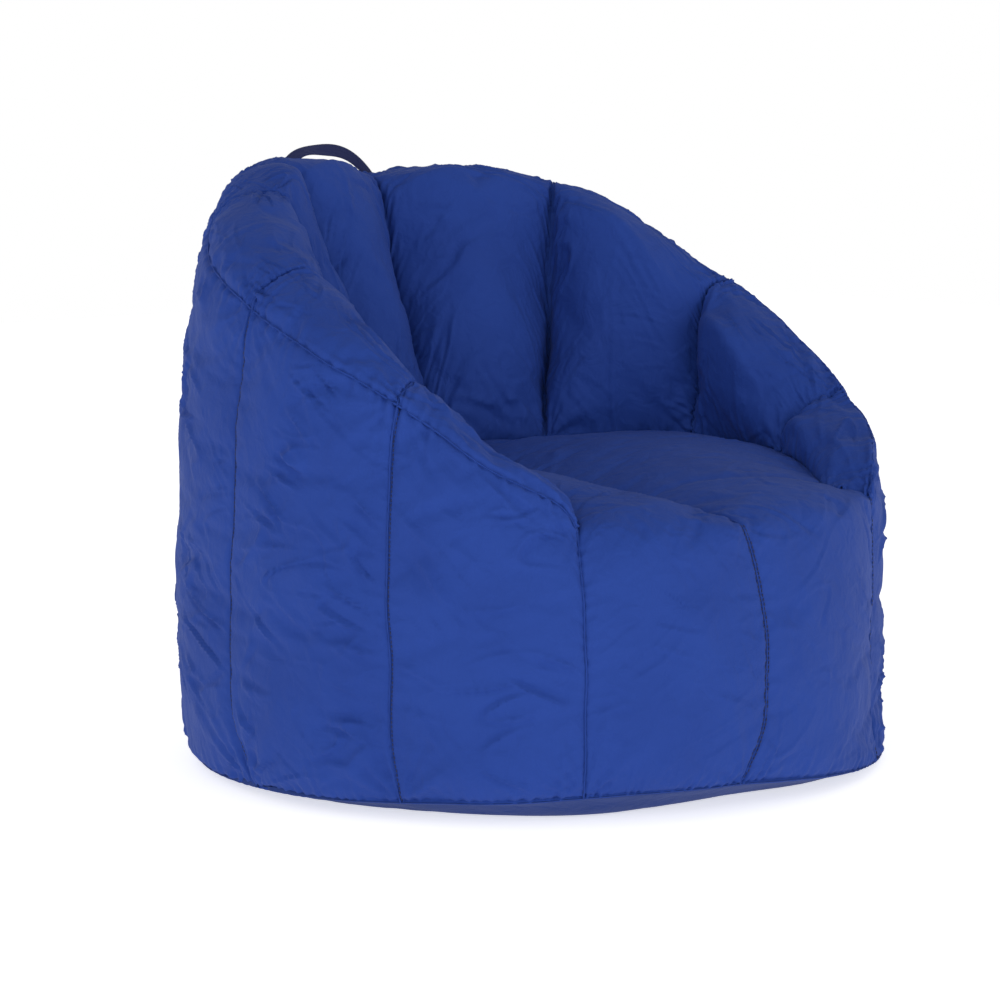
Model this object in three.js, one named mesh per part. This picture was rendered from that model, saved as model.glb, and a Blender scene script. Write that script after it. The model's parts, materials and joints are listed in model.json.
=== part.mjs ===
import * as THREE from 'three';

// Bean bag chair: a barrel of eleven equal sections. Two of them run up the front and back
// over the seat; the other nine make the arms and the back. Millimetres, +Z up, the sitter
// faces -Y, the origin is under the middle of the body on the floor.

// Driving dimensions.
const RADIUS = 430;                    // plan radius at the widest height
const SECTIONS = 11;                   // equal sections round the barrel
const SEAM_STEP = (2 * Math.PI) / SECTIONS;
const SEAMS_PER_MM = 1 / (0.8 * RADIUS * SEAM_STEP);   // near the rim of the plan
const PLAN_SHIFT = -2;                 // centres the body's box on the origin, along Y
const CLOTH = 2;                       // thickness of a cover panel with its seam allowance
const FILL_GAP = 1.5;                  // clearance between a panel and the beads behind it
const SEAM_GAP = 1.2;                  // clearance between two panels that are sewn together
const SEAT_GAP = 8;                    // clearance from the seat to the arms and the back
const BASE_SEAM_RADIUS = 0.96;         // of RADIUS
const BASE_SEAM_HEIGHT = 18;
const FLAT_BASE_RADIUS = 0.87;         // of RADIUS; inside it the base lies on the floor
const BELLY_HEIGHT = 160;              // height of the widest point
const SEAM_VALLEY = 0.009;             // how far a vertical seam is drawn in, of the radius
const FRONT_TOP = 330;                 // top of the front wall
const CREASE_HEIGHT = 357;             // where the seat meets the arms and the back
const SEAT_CROWN = 24;                 // rise of each seat pillow
const MIDDLE_CROWN = 0.4;              // share of the crown left at the seat's middle seam
const HANDLE_RISE = 55;                // top of the carry handle above its hinge line
const HANDLE_CLEARANCE = 4;            // keeps the webbing's inner edge off the rim
const HANDLE_HALF_SPAN = 74;           // from the middle of the handle to each sewn end
const HANDLE_WIDTH = 26;               // of the webbing
const HANDLE_THICKNESS = 3;
const ZIP_LENGTH = 440;
const ZIP_CHANNEL_HEIGHT = 7;          // the base is folded up this far over the zip
const ZIP_CHANNEL_HALF = 24;           // half the width of the channel's raised middle
const BASE_HALF_GAP = 6;                // from the zip's centre line to each base panel
const FILL_BOTTOM = 17;                // underside of the seat's beads, over the zip
const BACK_CORNER = 3.5;               // seam position where the arm turns into the back
const MIDDLE_OF_BACK = 5.5;
const ARM_END = 0.1;                   // share of the seat's depth in front of the arms

// Values at the seams, counted from the middle of the front (0) to the two back seams (5).
// The last number is the seam past the middle of the back, which mirrors seam 5.
const RIM_SEAM_HEIGHT = [262, 330, 468, 563, 648, 688, 688];
const RIM_SEAM_RADIUS = [0.935, 0.935, 0.925, 0.915, 0.91, 0.91, 0.91];
const CROWN_RISE = [0, 20, 26, 30, 31, 25, 25];
const INNER_EDGE_RADIUS = [0.94, 0.862, 0.727, 0.664, 0.66, 0.66, 0.66];
const CREASE_RADIUS = [0.97, 0.83, 0.745, 0.735, 0.495, 0.34, 0.34];
const CREASE_DROP = [24, 20, 0, 0, 0, 0, 0];

// Mesh density.
const STEPS_ROUND = 4;                 // facets across one section
const STEPS_ON_WALL = 3;               // facets between the belly and the rim seam
const STEPS_INSIDE = 4;                // facets down the inner wall
const STEPS_ON_SEAT = 8;
const STEPS_ON_SEAT_ACROSS = 5;
const BASE_STEPS = 22;
const HANDLE_STEPS = 14;

const chair = new THREE.Group();

function material(color, roughness, metalness = 0) {
  return new THREE.MeshStandardMaterial({ color, roughness, metalness });
}

const COVER_BLUE = 0x2f4991;
const LINING_BLUE = 0x25386f;
const BEAD_WHITE = 0xf0f1ee;
const WEBBING_NAVY = 0x1a2350;
const ZIP_BLACK = 0x1c1d22;

// ---------- Solids ----------

// A closed solid from shared corners; its faces are turned outward if they came out inward.
function solidGeometry(corners, triangles) {
  let volume = 0;
  for (const [a, b, c] of triangles) {
    volume += corners[a].dot(new THREE.Vector3().crossVectors(corners[b], corners[c]));
  }
  const index = [];
  for (const [a, b, c] of triangles) {
    index.push(...(volume > 0 ? [a, b, c] : [a, c, b]));
  }
  const geometry = new THREE.BufferGeometry().setFromPoints(corners);
  geometry.setIndex(index);
  geometry.computeVertexNormals();
  return geometry;
}

// A sheet with thickness: two grids of the same size, joined round their edges.
function sheetSolid(front, back) {
  const columns = front.length;
  const rows = front[0].length;
  const corners = [...front.flat(), ...back.flat()];
  const at = (side, i, j) => side * columns * rows + i * rows + j;
  const triangles = [];
  const quad = (a, b, c, d) => triangles.push([a, b, c], [a, c, d]);
  for (let i = 0; i < columns - 1; i += 1) {
    for (let j = 0; j < rows - 1; j += 1) {
      quad(at(0, i, j), at(0, i + 1, j), at(0, i + 1, j + 1), at(0, i, j + 1));
      quad(at(1, i, j), at(1, i, j + 1), at(1, i + 1, j + 1), at(1, i + 1, j));
    }
    quad(at(0, i + 1, 0), at(0, i, 0), at(1, i, 0), at(1, i + 1, 0));
    quad(at(0, i, rows - 1), at(0, i + 1, rows - 1), at(1, i + 1, rows - 1), at(1, i, rows - 1));
  }
  for (let j = 0; j < rows - 1; j += 1) {
    quad(at(0, 0, j), at(0, 0, j + 1), at(1, 0, j + 1), at(1, 0, j));
    quad(at(0, columns - 1, j + 1), at(0, columns - 1, j), at(1, columns - 1, j),
      at(1, columns - 1, j + 1));
  }
  return solidGeometry(corners, triangles);
}

// A solid lofted through rings of equal length. flatRings holds each ring's outline in two
// dimensions, which the two end caps are cut from.
function loftSolid(rings, flatRings) {
  const count = rings[0].length;
  const last = rings.length - 1;
  const triangles = [];
  for (let i = 0; i < last; i += 1) {
    for (let j = 0; j < count; j += 1) {
      const next = (j + 1) % count;
      const a = i * count + j;
      const b = i * count + next;
      triangles.push([a, b, b + count], [a, b + count, a + count]);
    }
  }
  for (const end of [0, last]) {
    const outline = flatRings[end];
    const turn = Math.sign(THREE.ShapeUtils.area(outline));
    for (const face of THREE.ShapeUtils.triangulateShape(outline, [])) {
      const faceTurn = Math.sign(THREE.ShapeUtils.area(face.map((k) => outline[k])));
      const [a, b, c] = faceTurn === turn ? face : [face[0], face[2], face[1]];
      const shift = end * count;
      triangles.push(end === 0 ? [a + shift, c + shift, b + shift]
        : [a + shift, b + shift, c + shift]);
    }
  }
  return solidGeometry(rings.flat(), triangles);
}

function addPart(name, geometry, look) {
  const mesh = new THREE.Mesh(geometry, look);
  mesh.name = name;
  chair.add(mesh);
  return mesh;
}

// A plain block between two corners.
function blockGeometry(low, high) {
  const size = high.clone().sub(low);
  const block = new THREE.BoxGeometry(size.x, size.y, size.z);
  block.translate(low.x + size.x / 2, low.y + size.y / 2, low.z + size.z / 2);
  return block;
}

// ---------- The chair's section at any angle ----------

// A smooth value between the seam values of a table.
function betweenSeams(table, seam) {
  const last = table.length - 1;
  const k = Math.min(Math.floor(seam), last - 1);
  const f = seam - k;
  const before = table[Math.max(k - 1, 0)];
  const after = table[Math.min(k + 2, last)];
  const [a, b] = [table[k], table[k + 1]];
  const slopeA = (b - before) / 2;
  const slopeB = (after - a) / 2;
  const f2 = f * f;
  const f3 = f2 * f;
  return a * (2 * f3 - 3 * f2 + 1) + slopeA * (f3 - 2 * f2 + f)
    + b * (3 * f2 - 2 * f3) + slopeB * (f3 - f2);
}

// 1 on a seam, 0 half way between two seams.
function valley(seam) {
  return 0.5 + 0.5 * Math.cos(2 * Math.PI * seam);
}

// From a radius and height at a seam position to a point; side is +1 for the sitter's left.
function place(side, seam, radius, height) {
  const angle = seam * SEAM_STEP;
  return new THREE.Vector3(side * radius * Math.sin(angle),
    -radius * Math.cos(angle) + PLAN_SHIFT, height);
}

function outerRadius(seam, height, topHeight) {
  const belly = RADIUS * (1 - SEAM_VALLEY * valley(seam));
  if (height < BELLY_HEIGHT) {
    const down = (BELLY_HEIGHT - height) / (BELLY_HEIGHT - BASE_SEAM_HEIGHT);
    return belly * (1 - (1 - BASE_SEAM_RADIUS) * down ** 2.2);
  }
  const up = (height - BELLY_HEIGHT) / (topHeight - BELLY_HEIGHT);
  return belly * (1 - (1 - betweenSeams(RIM_SEAM_RADIUS, seam)) * up ** 2);
}

// Height of the base panels' underside: flat on the floor, turned up to the base seam.
function baseHeight(radius) {
  const edge = (radius / RADIUS - FLAT_BASE_RADIUS) / (BASE_SEAM_RADIUS - FLAT_BASE_RADIUS);
  return BASE_SEAM_HEIGHT * Math.max(edge, 0) ** 1.6;
}

// The outside, from the base seam to the rim seam, as [radius, height] pairs.
function outerProfile(seam, topHeight) {
  const heights = [BASE_SEAM_HEIGHT, 40, 85, BELLY_HEIGHT];
  for (let i = 1; i <= STEPS_ON_WALL; i += 1) {
    heights.push(BELLY_HEIGHT + ((topHeight - BELLY_HEIGHT) * i) / STEPS_ON_WALL);
  }
  return heights.map((height) => [outerRadius(seam, height, topHeight), height]);
}

// Over the rim and down the inside to the crease, without the rim seam itself.
function innerProfile(seam, rim) {
  const edge = RADIUS * betweenSeams(INNER_EDGE_RADIUS, seam);
  const crease = RADIUS * betweenSeams(CREASE_RADIUS, seam);
  const creaseHeight = CREASE_HEIGHT - betweenSeams(CREASE_DROP, seam);
  const rise = betweenSeams(CROWN_RISE, seam) - 7 * valley(seam);
  const across = (f) => rim[0] + (edge - rim[0]) * f;
  const edgeHeight = Math.max(rim[1] + 0.15 * rise, creaseHeight + 3);
  const points = [
    [across(0.14), rim[1] + 0.7 * rise],
    [across(0.42), rim[1] + rise],
    [across(0.76), rim[1] + 0.85 * rise],
    [edge, edgeHeight],
  ];
  const swell = Math.min(18, (edgeHeight - creaseHeight) * 0.12);
  for (let i = 1; i <= STEPS_INSIDE; i += 1) {
    const f = i / STEPS_INSIDE;
    const bulge = swell * Math.sin(Math.PI * f) * (1 - 1.6 * valley(seam));
    points.push([edge + (crease - edge) * f - bulge,
      edgeHeight + (creaseHeight - edgeHeight) * f]);
  }
  return points;
}

// The whole wall, base seam to crease, and the place of the rim seam in it.
function wallProfile(seam) {
  const outer = outerProfile(seam, betweenSeams(RIM_SEAM_HEIGHT, seam));
  const points = [...outer, ...innerProfile(seam, outer.at(-1))];
  return { points, rim: outer.length - 1 };
}

// A profile moved sideways into the body.
function inset(points, distance) {
  return points.map((point, i) => {
    const a = points[Math.max(i - 1, 0)];
    const b = points[Math.min(i + 1, points.length - 1)];
    const run = Math.hypot(b[0] - a[0], b[1] - a[1]);
    return [point[0] - ((b[1] - a[1]) / run) * distance,
      point[1] + ((b[0] - a[0]) / run) * distance];
  });
}

// A profile with a little cut off each end.
function trimmed(points, startCut, endCut) {
  const result = points.map((point) => [...point]);
  const pull = (end, towards, cut) => {
    const run = Math.hypot(towards[0] - end[0], towards[1] - end[1]);
    return [end[0] + ((towards[0] - end[0]) * cut) / run,
      end[1] + ((towards[1] - end[1]) * cut) / run];
  };
  result[0] = pull(points[0], points[1], startCut);
  result[points.length - 1] = pull(points.at(-1), points.at(-2), endCut);
  return result;
}

// ---------- Arms and back ----------

const WALL_SECTIONS = [
  { name: 'arm_front', seam: 1 },
  { name: 'arm_middle', seam: 2 },
  { name: 'arm_rear', seam: 3 },
  { name: 'back_side', seam: 4 },
];

// Seam positions across one section, a little in from its two seams.
function stepsAcross(seam, margin) {
  const steps = [];
  for (let i = 0; i <= STEPS_ROUND; i += 1) {
    steps.push(seam + margin + ((1 - 2 * margin) * i) / STEPS_ROUND);
  }
  return steps;
}

function addWallPanel(name, side, seam, choose) {
  const front = [];
  const back = [];
  for (const step of stepsAcross(seam, 0.008)) {
    const { points, rim } = wallProfile(step);
    const surface = choose(points, rim);
    const behind = choose(inset(points, CLOTH), rim);
    front.push(surface.map(([r, z]) => place(side, step, r, z)));
    back.push(behind.map(([r, z]) => place(side, step, r, z)));
  }
  addPart(name, sheetSolid(front, back), material(COVER_BLUE, 0.72));
}

// The beads' outline behind the panels at a seam position.
function fillOutline(seam, depth) {
  const behind = inset(wallProfile(seam).points, depth);
  const foot = RADIUS * betweenSeams(CREASE_RADIUS, seam) + depth + 2.5;
  const last = behind.length - 1;
  behind[last] = [foot, behind[last][1] - 2];
  const bottom = [0, 0.35, 0.7].map((f) => foot + (behind[0][0] - foot) * f);
  return [...behind, ...bottom.map((radius) => [radius, baseHeight(radius) + depth + 2])];
}

function addFill(name, side, seam) {
  const steps = stepsAcross(seam, 0.016);
  const outlines = steps.map((step) => fillOutline(step, CLOTH + FILL_GAP));
  const rings = outlines.map(
    (outline, i) => outline.map(([r, z]) => place(side, steps[i], r, z)),
  );
  const flat = outlines.map((outline) => outline.map(([r, z]) => new THREE.Vector2(r, z)));
  addPart(name, loftSolid(rings, flat), material(BEAD_WHITE, 0.9));
}

// A flat web of fabric on a seam plane, tying the inner seam to the outer one.
function addWeb(name, side, seam) {
  const outline = fillOutline(seam, CLOTH + FILL_GAP + 3);
  const half = 0.6;
  const angle = seam * SEAM_STEP;
  const across = new THREE.Vector3(side * Math.cos(angle), Math.sin(angle), 0);
  const rings = [-half, half].map((offset) => outline.map(
    ([r, z]) => place(side, seam, r, z).addScaledVector(across, offset),
  ));
  const flat = outline.map(([r, z]) => new THREE.Vector2(r, z));
  addPart(name, loftSolid(rings, [flat, flat]), material(LINING_BLUE, 0.85));
}

const outsideOf = (points, rim) => trimmed(points.slice(0, rim + 1), 1, SEAM_GAP);
const insideOf = (points, rim) => trimmed(points.slice(rim), SEAM_GAP, SEAM_GAP);

function addWallSection(name, side, seam) {
  addWallPanel(`outer_panel_${name}`, side, seam, outsideOf);
  addWallPanel(`inner_panel_${name}`, side, seam, insideOf);
  addFill(`bead_fill_${name}`, side, seam);
}

const SIDES = [{ word: 'left', sign: 1 }, { word: 'right', sign: -1 }];

for (const side of SIDES) {
  for (const section of WALL_SECTIONS) {
    addWallSection(`${section.name}_${side.word}`, side.sign, section.seam);
  }
  for (let seam = 1; seam <= 5; seam += 1) {
    addWeb(`divider_web_${seam}_${side.word}`, side.sign, seam);
  }
}

addWallSection('back_centre', 1, 5);

// ---------- Seat and front ----------

// A point on the line where the seat meets the arms and the back.
function creasePoint(side, seam, gap) {
  const radius = RADIUS * betweenSeams(CREASE_RADIUS, seam) - gap;
  const height = CREASE_HEIGHT - betweenSeams(CREASE_DROP, seam);
  return place(side, seam, radius, height);
}

// The seat's plan is a patch between the front edge, the middle line, the arm and the back.
function seatPoint(side, across, along, gap) {
  const lastSeam = 1 - gap * SEAMS_PER_MM;
  const frontEdge = (f) => place(side, f, RADIUS * RIM_SEAM_RADIUS[1], FRONT_TOP);
  const cornerA = frontEdge(0);
  const cornerB = frontEdge(lastSeam);
  const cornerC = creasePoint(side, BACK_CORNER, gap);
  const cornerD = creasePoint(side, MIDDLE_OF_BACK, gap);
  const front = frontEdge(lastSeam * across);
  const back = creasePoint(side, MIDDLE_OF_BACK + (BACK_CORNER - MIDDLE_OF_BACK) * across, gap);
  const middle = cornerA.clone().lerp(cornerD, along);
  const pastEnd = Math.max((along - ARM_END) / (1 - ARM_END), 0);
  const arm = along < ARM_END
    ? cornerB.clone().lerp(creasePoint(side, lastSeam, gap), along / ARM_END)
    : creasePoint(side, lastSeam + (BACK_CORNER - lastSeam) * pastEnd, gap);
  const corners = cornerA.multiplyScalar((1 - across) * (1 - along))
    .addScaledVector(cornerB, across * (1 - along))
    .addScaledVector(cornerC, across * along)
    .addScaledVector(cornerD, (1 - across) * along);
  const point = front.multiplyScalar(1 - along)
    .addScaledVector(back, along)
    .addScaledVector(middle, 1 - across)
    .addScaledVector(arm, across)
    .sub(corners);
  const arch = Math.sin(Math.PI * across) ** 0.7;
  const pillow = across < 0.5 ? MIDDLE_CROWN + (1 - MIDDLE_CROWN) * arch : arch;
  const crown = pillow * Math.sin(Math.PI * along) ** 0.6;
  const shoulder = Math.min(along / 0.12, 1) * 8;
  point.z += SEAT_CROWN * crown + shoulder * (1 - along);
  return point;
}

// One seat panel's surface: up the front from the base seam, then back over the seat.
function seatColumn(side, across, depth) {
  const gap = SEAT_GAP + depth;
  const middleGap = SEAM_GAP / 2 + 0.45 * depth;
  const lastSeam = 1 - gap * SEAMS_PER_MM;
  const firstSeam = middleGap * SEAMS_PER_MM;
  const seam = firstSeam + (lastSeam - firstSeam) * across;
  const wall = inset(outerProfile(seam, FRONT_TOP), depth).slice(0, -1);
  const column = wall.map(([r, z]) => place(side, seam, r, z));
  column[0].z += 1;
  for (let j = 0; j <= STEPS_ON_SEAT; j += 1) {
    const point = seatPoint(side, across, j / STEPS_ON_SEAT, gap);
    point.x = side * Math.max(side * point.x, middleGap);
    point.z -= depth;
    if (j === 0) {
      point.y += depth * 0.7;
    }
    column.push(point);
  }
  return column;
}

function columnsAcross(makeColumn) {
  return Array.from({ length: STEPS_ON_SEAT_ACROSS + 1 },
    (_, i) => makeColumn(i / STEPS_ON_SEAT_ACROSS));
}

// The seat's beads: under the panel's surface, down to a flat bottom that clears the zip.
function seatFillColumns(side) {
  const depth = CLOTH + FILL_GAP;
  const top = columnsAcross((across) => seatColumn(side, across, depth));
  const bottom = top.map((column, i) => {
    const across = i / STEPS_ON_SEAT_ACROSS;
    const start = place(side, 0.01 + 0.96 * across, RADIUS * 0.84, FILL_BOTTOM);
    return column.map((point, j) => {
      const along = j / (column.length - 1);
      const onWall = column.length - 1 - STEPS_ON_SEAT;
      if (j <= onWall) {
        const foot = start.clone().lerp(point, 0.12 * (j / onWall));
        foot.z = FILL_BOTTOM;
        return foot;
      }
      return new THREE.Vector3(point.x, point.y, FILL_BOTTOM);
    });
  });
  return [top, bottom];
}

for (const side of SIDES) {
  addPart(`seat_panel_${side.word}`, sheetSolid(
    columnsAcross((across) => seatColumn(side.sign, across, 0)),
    columnsAcross((across) => seatColumn(side.sign, across, CLOTH)),
  ), material(COVER_BLUE, 0.72));
  addPart(`bead_fill_seat_${side.word}`, sheetSolid(...seatFillColumns(side.sign)),
    material(BEAD_WHITE, 0.9));
}

// The web under the seat's middle seam, in the chair's plane of symmetry.
function seatWebGeometry() {
  const column = seatColumn(1, 0, CLOTH + FILL_GAP + 3);
  const front = column[0].y + 20;
  const outline = [...column.map((point) => [point.y, point.z]),
    [column.at(-1).y, FILL_BOTTOM + 3], [front, FILL_BOTTOM + 3]];
  const rings = [-0.6, 0.6].map((x) => outline.map(([y, z]) => new THREE.Vector3(x, y, z)));
  const flat = outline.map(([y, z]) => new THREE.Vector2(y, z));
  return loftSolid(rings, [flat, flat]);
}

addPart('divider_web_seat', seatWebGeometry(), material(LINING_BLUE, 0.85));

// ---------- Base ----------

// The base's underside: flat, turned up at its edge, folded up along the zip.
function baseSurface(x, y) {
  const sideSlope = (ZIP_CHANNEL_HALF + 12 - Math.abs(y)) / 12;
  const endSlope = (ZIP_LENGTH / 2 + 75 - Math.abs(x)) / 40;
  const channel = ZIP_CHANNEL_HEIGHT * Math.min(Math.max(Math.min(sideSlope, endSlope), 0), 1);
  return Math.max(baseHeight(Math.hypot(x, y - PLAN_SHIFT)), channel);
}

// Half of the base, from the zip to the base seam; towards is -1 for the front half.
function basePanel(towards) {
  const edgeRadius = RADIUS * BASE_SEAM_RADIUS - 4;
  const under = [];
  const over = [];
  for (let i = 0; i <= BASE_STEPS; i += 1) {
    const turn = (2 * i) / BASE_STEPS - 1;
    const angle = THREE.MathUtils.degToRad(86 * Math.sign(turn) * (1 - (1 - Math.abs(turn)) ** 1.4));
    const x = edgeRadius * Math.sin(angle);
    const edgeY = towards * edgeRadius * Math.cos(angle) + PLAN_SHIFT;
    const pastZip = THREE.MathUtils.smoothstep(Math.abs(x), ZIP_LENGTH / 2 + 20, ZIP_LENGTH / 2 + 60);
    const zipY = towards * (BASE_HALF_GAP + (SEAM_GAP / 2 - BASE_HALF_GAP) * pastZip);
    const flatY = Math.sqrt(Math.max((RADIUS * FLAT_BASE_RADIUS) ** 2 - x * x, 0));
    const flat = Math.max(flatY / (edgeRadius * Math.cos(angle)), 0.3);
    const shares = [0, 0.05, 0.1, (0.1 + flat) / 2, flat,
      ...[0.35, 0.7, 1].map((f) => flat + (1 - flat) * f)];
    const line = shares.map((share) => zipY + (edgeY - zipY) * share);
    under.push(line.map((y) => new THREE.Vector3(x, y, baseSurface(x, y))));
    over.push(line.map((y) => new THREE.Vector3(x, y, baseSurface(x, y) + CLOTH)));
  }
  return sheetSolid(under, over);
}

addPart('base_panel_front', basePanel(-1), material(LINING_BLUE, 0.8));
addPart('base_panel_rear', basePanel(1), material(LINING_BLUE, 0.8));

// ---------- Filling zip, in the channel under the base ----------

const tapeBottom = ZIP_CHANNEL_HEIGHT + CLOTH + 0.4;
const halfZip = ZIP_LENGTH / 2;

for (const half of [{ word: 'front', sign: -1 }, { word: 'rear', sign: 1 }]) {
  const strip = (from, to, bottom, top) => blockGeometry(
    new THREE.Vector3(-halfZip, Math.min(half.sign * from, half.sign * to), bottom),
    new THREE.Vector3(halfZip, Math.max(half.sign * from, half.sign * to), top),
  );
  addPart(`zip_tape_${half.word}`, strip(3.6, 17, tapeBottom, tapeBottom + 0.8),
    material(ZIP_BLACK, 0.8));
  addPart(`zip_coil_${half.word}`, strip(0.8, 3.2, tapeBottom - 0.9, tapeBottom + 1.9),
    material(ZIP_BLACK, 0.45));
}

// Two plates joined by a thin wedge that runs between the coils.
function sliderGeometry() {
  const bottom = tapeBottom - 2.6;
  const outline = new THREE.Shape([
    [-5, 0], [5, 0], [5, 1.2], [0.4, 1.2], [0.4, 5], [5, 5], [5, 6.2],
    [-5, 6.2], [-5, 5], [-0.4, 5], [-0.4, 1.2], [-5, 1.2],
  ].map(([y, z]) => new THREE.Vector2(y, z)));
  const slider = new THREE.ExtrudeGeometry(outline, { depth: 12, bevelEnabled: false });
  slider.rotateX(Math.PI / 2);
  slider.rotateZ(Math.PI / 2);
  slider.translate(0, 0, bottom);
  return slider;
}

const slider = addPart('zip_slider', sliderGeometry(), material(0x8a8d92, 0.35, 1));
slider.position.x = halfZip - 16;

for (const end of [{ word: 'closed', sign: 1 }, { word: 'open', sign: -1 }]) {
  const near = end.sign * (halfZip + 0.4);
  const far = end.sign * (halfZip + 5);
  addPart(`zip_stop_${end.word}_end`, blockGeometry(
    new THREE.Vector3(Math.min(near, far), -3.4, tapeBottom - 1),
    new THREE.Vector3(Math.max(near, far), 3.4, tapeBottom + 2),
  ), material(0x8a8d92, 0.35, 1));
}

// A hook-and-loop flap covers the zip; it is sewn along its front edge.
addPart('zip_flap', blockGeometry(
  new THREE.Vector3(-halfZip - 14, -ZIP_CHANNEL_HALF + 1, 1.4),
  new THREE.Vector3(halfZip + 14, ZIP_CHANNEL_HALF - 1, 3.2),
), material(LINING_BLUE, 0.85));

// ---------- Carry handle ----------

// The handle turns on the line through its two sewn ends, close outside the rim seam.
const hingeZ = RIM_SEAM_HEIGHT[5] - 6;
const anchorHeight = hingeZ - 18;
const anchorSeam = MIDDLE_OF_BACK - HANDLE_HALF_SPAN / (RADIUS * SEAM_STEP);
const anchorRadius = outerRadius(anchorSeam, anchorHeight, RIM_SEAM_HEIGHT[5]);
const hingeY = Math.sqrt(anchorRadius ** 2 - HANDLE_HALF_SPAN ** 2) + PLAN_SHIFT + 9;

// A band of webbing that arches over its two sewn ends.
function handleGeometry() {
  const rings = [];
  for (let i = 0; i <= HANDLE_STEPS; i += 1) {
    const f = (2 * i) / HANDLE_STEPS - 1;
    const height = HANDLE_RISE * (1 - Math.abs(f) ** 2.4);
    const slope = Math.atan2(HANDLE_RISE * 2.4 * Math.abs(f) ** 1.4 * -Math.sign(f),
      HANDLE_HALF_SPAN);
    const centre = new THREE.Vector3(HANDLE_HALF_SPAN * f, hingeY + HANDLE_CLEARANCE,
      hingeZ + height);
    const along = new THREE.Vector3(Math.cos(slope), 0, Math.sin(slope));
    const lean = THREE.MathUtils.degToRad(35 + 40 * Math.abs(f));
    const flat = new THREE.Vector3(0, Math.cos(lean), 0)
      .addScaledVector(new THREE.Vector3(-along.z, 0, along.x), Math.sin(lean));
    const thick = new THREE.Vector3().crossVectors(along, flat);
    const width = HANDLE_WIDTH * (1 - 0.45 * f * f);
    const ring = [[-1, -1], [1, -1], [1, 1], [-1, 1]].map(([a, b]) => centre.clone()
      .addScaledVector(flat, (a * width) / 2)
      .addScaledVector(thick, (b * HANDLE_THICKNESS) / 2));
    rings.push(ring);
  }
  const square = [[0, 0], [1, 0], [1, 1], [0, 1]].map(([a, b]) => new THREE.Vector2(a, b));
  return loftSolid(rings, rings.map(() => square));
}

addPart('carry_handle', handleGeometry(), material(WEBBING_NAVY, 0.75));

for (const side of SIDES) {
  const x = side.sign * HANDLE_HALF_SPAN;
  addPart(`handle_anchor_${side.word}`, blockGeometry(
    new THREE.Vector3(x - 13, hingeY - 4.5, anchorHeight - 9),
    new THREE.Vector3(x + 13, hingeY - 1.5, anchorHeight + 9),
  ), material(WEBBING_NAVY, 0.75));
}

export default chair;
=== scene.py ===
"""Looks of the bean bag chair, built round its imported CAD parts.

Metres, +Z up, the sitter faces -Y.
A seam position k runs round the barrel: 0 at the front, positive to the sitter's left, one for
each section, 11 in all. Each cover panel is a grid of points between its seams. A cloth
simulation fills the panels out, and fine folds and puckers are added along the seams.
"""

import json
import math

import bpy
import numpy as np
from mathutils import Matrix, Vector

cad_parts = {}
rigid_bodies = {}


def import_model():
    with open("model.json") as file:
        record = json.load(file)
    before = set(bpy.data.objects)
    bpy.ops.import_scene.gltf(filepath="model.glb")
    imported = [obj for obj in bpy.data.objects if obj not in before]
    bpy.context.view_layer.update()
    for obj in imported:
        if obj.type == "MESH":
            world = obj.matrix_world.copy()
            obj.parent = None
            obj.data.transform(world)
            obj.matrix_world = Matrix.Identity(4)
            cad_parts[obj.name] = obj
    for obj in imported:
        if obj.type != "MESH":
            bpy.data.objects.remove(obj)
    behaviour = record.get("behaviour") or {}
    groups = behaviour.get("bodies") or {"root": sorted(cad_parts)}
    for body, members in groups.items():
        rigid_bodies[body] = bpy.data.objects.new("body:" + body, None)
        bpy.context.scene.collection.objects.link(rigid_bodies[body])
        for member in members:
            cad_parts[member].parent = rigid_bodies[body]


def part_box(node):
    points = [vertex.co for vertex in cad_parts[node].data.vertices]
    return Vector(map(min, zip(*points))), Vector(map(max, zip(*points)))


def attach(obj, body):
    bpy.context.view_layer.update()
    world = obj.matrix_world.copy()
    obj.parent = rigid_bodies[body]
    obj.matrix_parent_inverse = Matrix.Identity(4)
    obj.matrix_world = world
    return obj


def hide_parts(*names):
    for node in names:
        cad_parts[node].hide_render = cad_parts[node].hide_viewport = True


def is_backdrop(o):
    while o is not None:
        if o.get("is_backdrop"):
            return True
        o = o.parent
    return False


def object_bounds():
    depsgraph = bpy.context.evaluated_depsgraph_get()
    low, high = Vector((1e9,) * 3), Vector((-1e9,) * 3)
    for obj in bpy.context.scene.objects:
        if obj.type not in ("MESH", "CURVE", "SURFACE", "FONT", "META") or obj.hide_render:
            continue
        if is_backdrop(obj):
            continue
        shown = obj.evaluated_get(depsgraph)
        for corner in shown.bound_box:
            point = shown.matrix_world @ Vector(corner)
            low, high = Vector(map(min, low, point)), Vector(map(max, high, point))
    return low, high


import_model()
cad_low, cad_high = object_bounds()

# ---------- Driving sizes ----------

RADIUS = 0.5 * (cad_high.x - cad_low.x) * 1.006   # plan radius that the shares below refer to
SECTIONS = 11
STEP = 2 * math.pi / SECTIONS
PLAN_SHIFT = -0.002
BELLY_HEIGHT = 0.14                # the widest point of the wall
SEAM_VALLEY = 0.006                # how far an upright seam is drawn in, as a share
FRONT_TOP = 0.333                  # top of the front wall
CREASE_HEIGHT = 0.357              # where the seat meets the arms and the back
SEAT_CROWN = {1: 0.009, -1: 0.017}   # rise of the left and the right seat pillow
MIDDLE_DROP = 0.012                # how far the seat's middle seam lies below its pillows' edges
BACK_CORNER = 3.5                  # seam position where the arm turns into the back
MIDDLE_OF_BACK = 5.5
ARM_END = 0.1                      # share of the seat's depth in front of the arms
CELL = 0.008                       # grid spacing for the simulation
FINE = 0.0031                      # grid spacing of the finished cloth
CLOTH = 0.0011                     # thickness of the finished cloth
LIFT = 0.0008                      # the lowest cloth's height over the floor
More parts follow.
